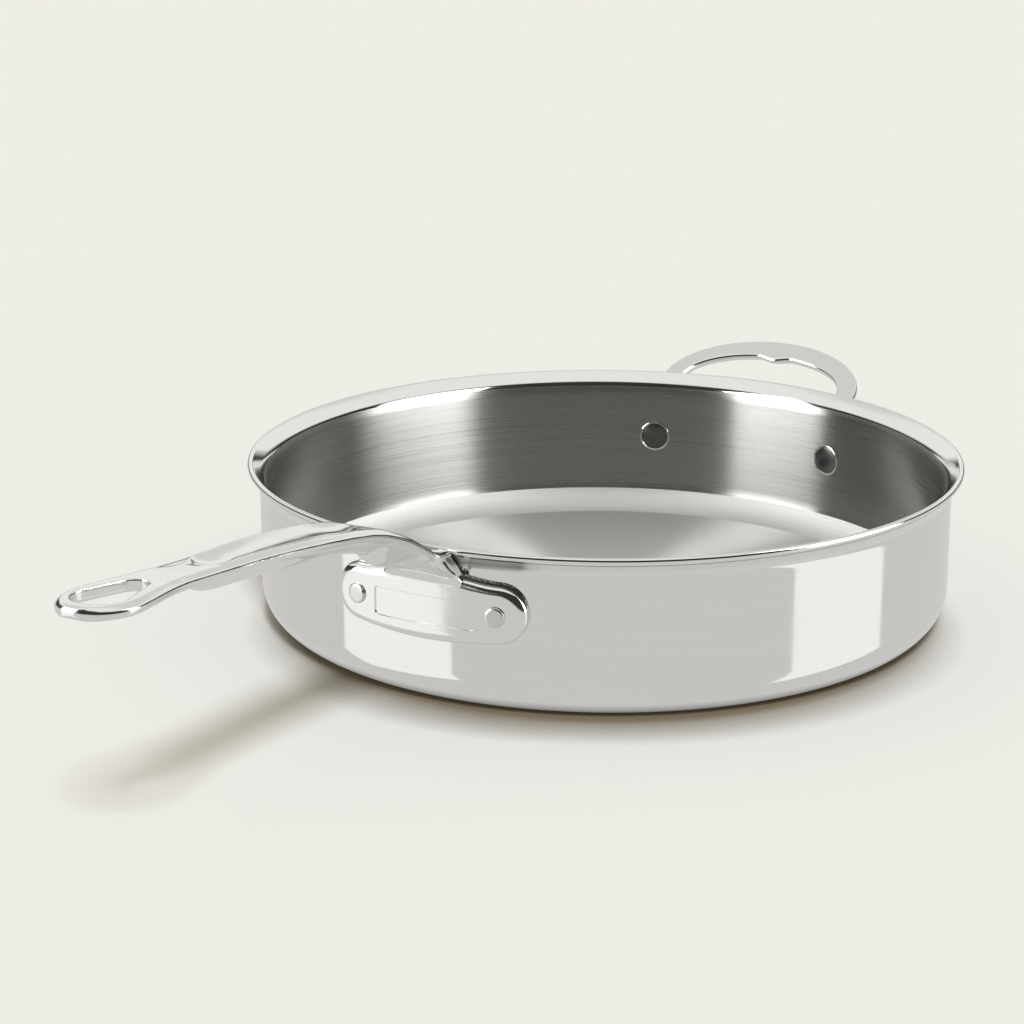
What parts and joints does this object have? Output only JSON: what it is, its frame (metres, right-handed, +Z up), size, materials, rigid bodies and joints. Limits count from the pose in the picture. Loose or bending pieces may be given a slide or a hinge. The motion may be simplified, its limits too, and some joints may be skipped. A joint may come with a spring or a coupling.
{
  "type": "saute pan",
  "caption": "Deep straight-sided round pan of polished and brushed steel with a flared rim, a long riveted handle with a hanging loop, and a riveted helper handle opposite.",
  "frame": {"origin": "centre of the flat base's underside, on the pan's axis", "axes": "+Z up along the pan's axis; the long handle points along -X and the helper handle along +X; Y is across, and the XZ plane is the plane of symmetry"},
  "size_m": [0.5704, 0.3146, 0.1076],
  "materials": {
    "brushed_inside": "brushed round the axis, polished on the lip",
    "core": "plain, bonded between the sheets",
    "polished_outside": "polished",
    "polished_casting": "mirror polished casting",
    "rivet": "satin"
  },
  "bodies": {
    "root": {"pan_inner_ply": "brushed_inside", "pan_core_ply": "core", "pan_outer_ply": "polished_outside", "long_handle": "polished_casting", "helper_handle": "polished_casting", "long_handle_rivet_left": "rivet", "long_handle_rivet_right": "rivet", "helper_handle_rivet_left": "rivet", "helper_handle_rivet_right": "rivet"}
  },
  "joints": []
}
